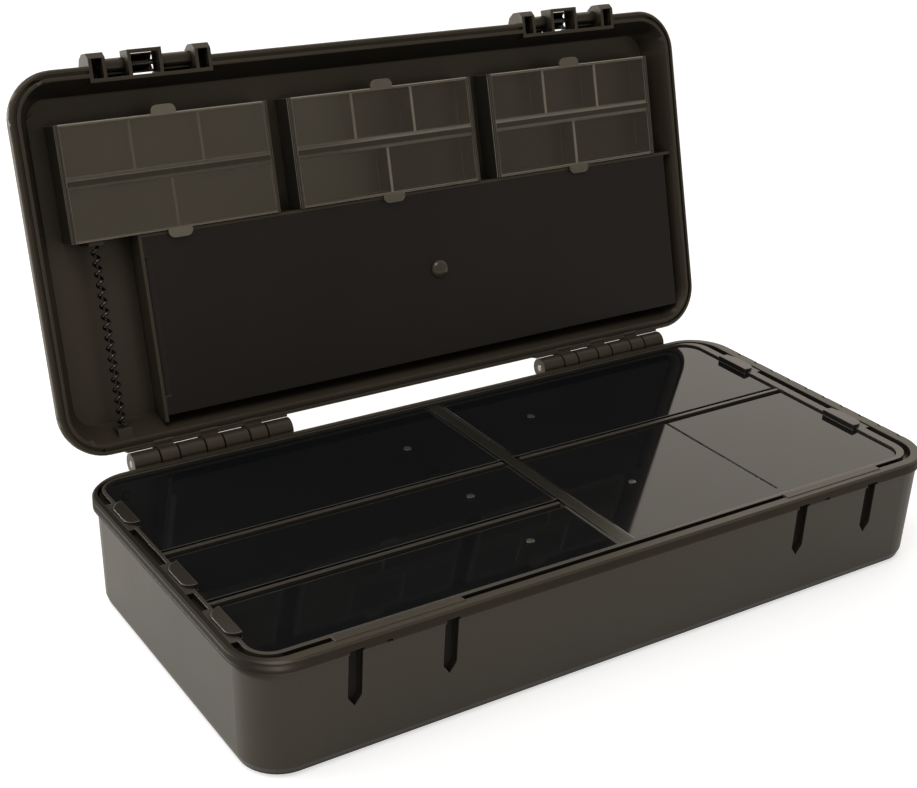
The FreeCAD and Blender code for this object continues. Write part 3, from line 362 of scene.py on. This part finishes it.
# No painted shade within seal_floor of the rim face, so the seal groove stays as light as the rim.
seal_floor = 0.0024
moulded_lid.painted_shade = moulded_lid.painted_shade * into_lid.step(seal_floor, seal_floor + 0.001)
moulded_lid.shade(top_wall, 0.8)
shell = bpy.data.objects.new("lid_moulding", nodes["lid_shell"].data.copy())
bpy.context.collection.objects.link(shell)
wall_x, wall_height, crown_depth, near, weld = 0.17684, 0.009659, 0.0151, 0.00005, 0.000005
for vertex in shell.data.vertices:
    past_rim = vertex.co - rim_corner
    if abs(past_rim.dot(inward) - crown_depth) < near and past_rim.dot(upward) > 0:
        vertex.co.x = min(vertex.co.x, wall_x)
        vertex.co += upward * max(0.0, wall_height - past_rim.dot(upward))
bpy.ops.object.select_all(action="DESELECT")
bpy.context.view_layer.objects.active = shell
shell.select_set(True)
bpy.ops.object.mode_set(mode="EDIT")
bpy.ops.mesh.select_all(action="SELECT")
bpy.ops.mesh.remove_doubles(threshold=weld)
bpy.ops.mesh.dissolve_degenerate(threshold=weld)
bpy.ops.object.mode_set(mode="OBJECT")
lip_low, lip_high, lip_depth, lip_tuck, lip_round = -0.00090, 0.00050, 0.0042, 0.0003, 0.0002
lips = []
for side in (-1, 1):
    for knuckle in range(tub_knuckles):
        middle_x = side * (hinge_start + knuckle * (tub_knuckle + lid_knuckle) + tub_knuckle / 2)
        bpy.ops.object.select_all(action="DESELECT")
        bpy.ops.mesh.primitive_cube_add(size=1.0)
        lip = bpy.context.object
        lip.scale = (tub_knuckle + 2 * lip_tuck, lip_high - lip_low, lip_depth)
        bpy.ops.object.transform_apply(location=True, rotation=True, scale=True)
        lie = Matrix((Vector((1.0, 0.0, 0.0)), upward, inward)).transposed().to_4x4()
        lie.translation = on_lid(middle_x, (lip_low + lip_high) / 2, lip_depth / 2)
        lip.matrix_world = lie
        bpy.ops.object.transform_apply(location=True, rotation=True, scale=True)
        soften = lip.modifiers.new("soften", "BEVEL")
        soften.width, soften.segments = lip_round, 2
        bpy.ops.object.modifier_apply(modifier=soften.name)
        lips.append(lip)
bpy.ops.object.select_all(action="DESELECT")
for lip in lips:
    lip.select_set(True)
shell.select_set(True)
bpy.context.view_layer.objects.active = shell
bpy.ops.object.join()
bpy.ops.object.mode_set(mode="EDIT")
bpy.ops.mesh.select_all(action="SELECT")
bpy.ops.mesh.normals_make_consistent(inside=False)
bpy.ops.object.mode_set(mode="OBJECT")
shell.data.materials.clear()
# Painted shade in the joints between the hinge knuckles.
moulded_lid.part_lines(knuckle_joints, knuckles_low, knuckles_high - 0.0005)
shell.data.materials.append(moulded_lid.done())
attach(shell, "lid")
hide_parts("lid_shell")

# ------------------------------------------------------------ latches
# Levers of the same plastic, folded back here, each on a steel pin with a close-wound torsion spring.
# A trough moulded behind each spring closes the window of its housing.

lever = Finish("latch_plastic", (0.022, 0.018, 0.0125), (0.028, 0.0235, 0.0170), (0.075, 0.066, 0.050), 0.30,
               edge_width=0.0006, grain=0.12, hollow=0.005)
lever_plastic = lever.done()
for side in ("left", "right"):
    finish_node("latch_lever_" + side, lever_plastic)

wound = Finish("spring_steel", (0.045, 0.042, 0.038), (0.075, 0.071, 0.065), (0.20, 0.19, 0.18), 0.20,
               grain=0.02, Metallic=1.0)
spring_steel = wound.done()


def coil(name, start, end, radius, wire, turns):
    """Helical wire spring between two points, wound from a circle by a screw and closed at its ends."""
    bpy.ops.object.select_all(action="DESELECT")
    wire_sides, steps_a_turn = 12, 28
    bpy.ops.mesh.primitive_circle_add(vertices=wire_sides, radius=wire / 2, location=(radius, 0.0, 0.0),
                                      rotation=(math.pi / 2, 0.0, 0.0))
    spring = bpy.context.object
    spring.name = name
    bpy.ops.object.transform_apply(location=True, rotation=True, scale=True)
    screw = spring.modifiers.new("wind", "SCREW")
    length = (end - start).length - wire
    screw.angle, screw.screw_offset = 2 * math.pi, length / turns
    screw.iterations, screw.steps, screw.render_steps = turns, steps_a_turn, steps_a_turn
    screw.use_merge_vertices = True
    bpy.ops.object.modifier_apply(modifier=screw.name)
    bpy.ops.object.mode_set(mode="EDIT")
    bpy.ops.mesh.select_all(action="SELECT")
    bpy.ops.mesh.fill_holes(sides=wire_sides)
    bpy.ops.mesh.select_all(action="SELECT")
    bpy.ops.mesh.normals_make_consistent(inside=False)
    bpy.ops.object.mode_set(mode="OBJECT")
    bpy.ops.object.shade_smooth_by_angle(angle=math.radians(50))
    axis = (end - start).normalized()
    lie = Vector((0.0, 0.0, 1.0)).rotation_difference(axis).to_matrix().to_4x4()
    lie.translation = start + axis * wire / 2
    spring.matrix_world = lie
    bpy.ops.object.transform_apply(location=True, rotation=True, scale=True)
    spring.data.materials.append(spring_steel)
    return spring


latch_coil_radius, latch_wire, latch_turns, slack_turns = 0.00215, 0.0008, 12, 1.3
trough_radius, trough_wall, window_length, window_tuck = 0.0044, 0.0007, 0.0135, 0.0005
for side in ("left", "right"):
    low, high = (Vector(corner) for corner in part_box("latch_spring_" + side))
    middle = (low + high) / 2
    coil_start = Vector((low.x, middle.y, middle.z))
    coil_end = coil_start + Vector((latch_wire * (latch_turns + slack_turns), 0.0, 0.0))
    turns = coil("latch_coil_" + side, coil_start, coil_end, latch_coil_radius, latch_wire, latch_turns)
    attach(turns, "lid")
    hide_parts("latch_spring_" + side)

    bpy.ops.object.select_all(action="DESELECT")
    bpy.ops.mesh.primitive_cylinder_add(vertices=48, radius=trough_radius, depth=window_length + window_tuck,
                                        end_fill_type="NOTHING", rotation=(0.0, math.pi / 2, 0.0))
    trough = bpy.context.object
    trough.name = "latch_trough_" + side
    bpy.ops.object.transform_apply(location=True, rotation=True, scale=True)
    bpy.ops.object.mode_set(mode="EDIT")
    bpy.ops.mesh.select_all(action="SELECT")
    bpy.ops.mesh.bisect(plane_co=(0.0, 0.0, 0.0), plane_no=tuple(inward), clear_inner=True)
    bpy.ops.object.mode_set(mode="OBJECT")
    wall = trough.modifiers.new("wall", "SOLIDIFY")
    wall.thickness, wall.offset = trough_wall, -1.0
    bpy.ops.object.modifier_apply(modifier=wall.name)
    trough.location = (low.x + (window_length - window_tuck) / 2, middle.y, middle.z)
    bpy.ops.object.transform_apply(location=True, rotation=True, scale=True)
    bpy.ops.object.shade_smooth_by_angle(angle=math.radians(40))
    trough.data.materials.append(lever_plastic)
    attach(trough, "lid")

# ------------------------------------------------------------ small boxes
# Three smoky translucent boxes pushed into the lid, each with a clear flap over either row of cells.
# The tops of the cell walls touch the flaps and are painted light under them, a painted highlight; the flaps'
# edges are painted lighter and less clear, as painted highlight and rubbed wear.


def depth_behind_rim(maker):
    """Depth behind the lid's rim face, in metres."""
    return maker.along(inward) - rim_corner.dot(inward)


smoky = Finish("small_box_plastic", (0.024, 0.021, 0.016), (0.030, 0.027, 0.021), (0.26, 0.24, 0.19), 0.20,
               edge_width=0.0005, grain=0.03)
# Painted highlight on the tops of the cell walls, just under the flaps.
under_flap, cell_floor = 0.0012, 0.0017
cell_wall_highlight = depth_behind_rim(smoky.maker).step(under_flap, under_flap + 0.0001)
cell_wall_highlight = cell_wall_highlight * depth_behind_rim(smoky.maker).step(cell_floor + 0.0002, cell_floor)
smoky.tint(cell_wall_highlight * 0.9, (0.50, 0.46, 0.38))
smoky_plastic = smoky.done()
clear = Finish("clear_flap_plastic", (0.105, 0.092, 0.070), (0.120, 0.106, 0.082), (0.42, 0.39, 0.31), 0.16,
               edge_width=0.0004, grain=0.0, patchy=0.03)
rubbed_from, rubbed_full = 0.0, -0.045
rubbed_left = clear.maker.along((1, 0, 0)).step(rubbed_from, rubbed_full)
boxes_middle, flap_reach, lip_colour = 0.1240, 0.0254, (0.15, 0.135, 0.105)
past_box = clear.maker.sum("ABSOLUTE", clear.maker.along(upward) - rim_corner.dot(upward) - boxes_middle)
finger_lip = past_box.step(flap_reach, flap_reach + 0.0003)
clear.tint(finger_lip * 0.8, lip_colour)
new_haze, rubbed_haze, lip_haze, edge_haze, drift_haze = 0.22, 0.26, 0.5, 0.45, 0.08
haze = new_haze + rubbed_left * rubbed_haze + finger_lip * lip_haze + clear.edge * edge_haze
haze = haze + (clear.maker.noise(14.0, 2.0) - 0.5) * drift_haze
clear.material.node_tree.links.new(haze.socket, clear.shader.inputs["Alpha"])
clear_plastic = clear.done()
for place in ("left", "middle", "right"):
    finish_node("small_box_" + place, smoky_plastic)
    for row in ("upper", "lower"):
        finish_node(f"small_box_{place}_{row}_flap", clear_plastic)

# ------------------------------------------------------------ rig board
# A flat dark board that rigs are wound on, let into the lower part of the lid between its ribs.
# One domed stud holds it down.

flat_board = Finish("board_plastic", (0.0078, 0.0062, 0.0056), (0.0105, 0.0085, 0.0076),
                    (0.09, 0.080, 0.066), 0.42, edge_width=0.0006, grain=0.10, hollow=0.002,
                    Specular_IOR_Level=0.30, Specular_Tint=(1.0, 0.95, 0.92, 1.0))
finish_node("rig_board", flat_board.done())

stud_radius, stud_band, stud_rise, stud_rings = 0.0047, 0.0006, 0.0023, 7
bpy.ops.object.select_all(action="DESELECT")
bpy.ops.mesh.primitive_cylinder_add(vertices=48, radius=stud_radius, depth=stud_band, end_fill_type="NGON")
stud = bpy.context.object
stud.name = "rig_board_stud_dome"
bpy.ops.object.transform_apply(location=True, rotation=True, scale=True)
for polygon in stud.data.polygons:
    polygon.select = polygon.normal.z > 0.9
for edge in stud.data.edges:
    edge.select = False
for vertex in stud.data.vertices:
    vertex.select = vertex.co.z > 0.0
bpy.ops.object.mode_set(mode="EDIT")
bpy.ops.mesh.select_mode(type="VERT")
for ring in range(stud_rings):
    before, after = (math.cos(math.radians(90.0 * k / (stud_rings + 1))) for k in (ring, ring + 1))
    lift = math.sin(math.radians(90.0 * (ring + 1) / (stud_rings + 1)))
    lift -= math.sin(math.radians(90.0 * ring / (stud_rings + 1)))
    bpy.ops.mesh.extrude_region_move(TRANSFORM_OT_translate={"value": (0.0, 0.0, lift * stud_rise)})
    bpy.ops.transform.resize(value=(after / before, after / before, 1.0))
bpy.ops.object.mode_set(mode="OBJECT")
bpy.ops.object.shade_smooth_by_angle(angle=math.radians(40))
board_sink, stud_x, stud_up = 0.0018, 0.0220, 0.0562
seat = Vector((0.0, 0.0, 1.0)).rotation_difference(-inward).to_matrix().to_4x4()
seat.translation = on_lid(stud_x, stud_up, board_sink - stud_band / 2)
stud.matrix_world = seat
bpy.ops.object.transform_apply(location=True, rotation=True, scale=True)
polished = Finish("stud_plastic", (0.045, 0.039, 0.030), (0.055, 0.048, 0.037), (0.10, 0.09, 0.07), 0.22,
                  edge_width=0.0003, grain=0.03)
stud.data.materials.append(polished.done())
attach(stud, "lid")
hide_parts("rig_board_stud")

# ------------------------------------------------------------ rig spring
# An extension spring of dark steel wire, stretched between two blocks moulded on the lid's floor.
# Hooks are hung in its turns, beside the board.

spring_radius, spring_wire, spring_turns, end_gap = 0.00130, 0.0017, 17, 0.0006
low, high = (Vector(corner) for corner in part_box("rig_spring"))
middle = (low + high) / 2
reach = (high.z - low.z) / 2 / upward.z - end_gap
hooked = coil("rig_spring_coil", middle - upward * reach, middle + upward * reach, spring_radius, spring_wire,
              spring_turns)
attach(hooked, "lid")
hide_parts("rig_spring")

# ------------------------------------------------------------ floor, light and camera
# A white sweep that keeps the box's shadow, in a room of pale walls that is brighter behind the box.
# One broad soft lamp hangs overhead, a long low one stands at the left, and the camera looks down.

bpy.ops.object.select_all(action="DESELECT")
floor_size, floor_grey, floor_glow, mirrored_glow = 14.0, 0.62, 0.62, 0.25
bpy.ops.mesh.primitive_plane_add(size=floor_size, location=(0.0, 0.0, 0.0))
floor = bpy.context.object
floor.name = "floor"
paint = Shade(bpy.data.materials.new("floor_paint"))
paint.material.use_nodes = True
floor_nodes = paint.material.node_tree.nodes
floor_links = paint.material.node_tree.links
matt = next(n for n in floor_nodes if n.type == "BSDF_PRINCIPLED")
matt.inputs["Base Color"].default_value = (floor_grey, floor_grey, floor_grey, 1.0)
matt.inputs["Roughness"].default_value = 0.9
matt.inputs["Specular IOR Level"].default_value = 0.0
ray = paint.node("ShaderNodeLightPath")
seen = ray.output("Is Camera Ray") * floor_glow + ray.output("Is Transmission Ray") * floor_glow
seen = seen + ray.output("Is Glossy Ray") * mirrored_glow
glow = paint.node("ShaderNodeEmission", Color=(1.0, 1.0, 1.0, 1.0), Strength=seen)
both = paint.node("ShaderNodeAddShader", _0=Shade(paint.material, matt.outputs[0]), _1=glow)
floor_links.new(both.socket, next(n for n in floor_nodes if n.type == "OUTPUT_MATERIAL").inputs["Surface"])
floor.data.materials.append(paint.material)

world = bpy.data.worlds.new("studio")
bpy.context.scene.world = world
world.use_nodes = True
sky = Shade(world)
background = next(n for n in world.node_tree.nodes if n.type == "BACKGROUND")
way = sky.node("ShaderNodeTexCoord").output("Generated")
parts = sky.node("ShaderNodeSeparateXYZ", Vector=way)
front_level, back_gain, overhead_loss = 0.37, 0.85, 0.35
behind = parts.output("Y").step(-0.35, 0.35)
overhead = parts.output("Z").step(0.55, 0.95)
level = behind * back_gain + front_level
level = level * (1.0 - overhead * overhead_loss)
seen = sky.node("ShaderNodeLightPath").output("Is Camera Ray")
level = level * (1.0 - seen) + seen
studio = (1.0 - seen).between((1.0, 1.0, 1.0, 1.0), (1.0, 0.94, 0.86, 1.0))
world.node_tree.links.new(level.socket, background.inputs["Strength"])
world.node_tree.links.new(studio.socket, background.inputs["Color"])


def lamp(name, place, aim, size, power):
    """Soft rectangular lamp."""
    bpy.ops.object.light_add(type="AREA", location=place)
    light = bpy.context.object
    light.name = name
    light.data.shape = "RECTANGLE"
    light.data.size, light.data.size_y = size
    light.data.energy = power
    light.rotation_euler = (Vector(aim) - Vector(place)).to_track_quat("-Z", "Y").to_euler()


lamp("softbox", (-0.35, -0.25, 1.15), (0.0, 0.0, 0.05), (0.7, 0.5), 5.0)
lamp("strip", (-1.10, 0.75, 0.22), (-0.1, 0.0, 0.03), (0.9, 0.35), 12.0)

focal_px, frame_width_px, sensor_width = 1589.456, 917.0, 36.0
pan, drop, roll = math.radians(33.794), math.radians(24.406), math.radians(2.067)
ahead = Vector((math.sin(pan) * math.cos(drop), math.cos(pan) * math.cos(drop), -math.sin(drop)))
sideways = Vector((math.cos(pan), -math.sin(pan), 0.0))
above = sideways.cross(ahead)
right = math.cos(roll) * sideways + math.sin(roll) * above
up = math.cos(roll) * above - math.sin(roll) * sideways
bpy.ops.object.camera_add()
camera = bpy.context.object
camera.data.sensor_width = sensor_width
camera.data.lens = focal_px / frame_width_px * sensor_width
eye = Vector((-0.39542, -0.53284, 0.39279))
pose = Matrix((right, up, -ahead)).transposed().to_4x4()
pose.translation = eye
camera.matrix_world = pose
camera.data.clip_start, camera.data.clip_end = 0.05, 50.0
bpy.context.scene.camera = camera
bpy.context.scene.view_settings.view_transform = "Standard"
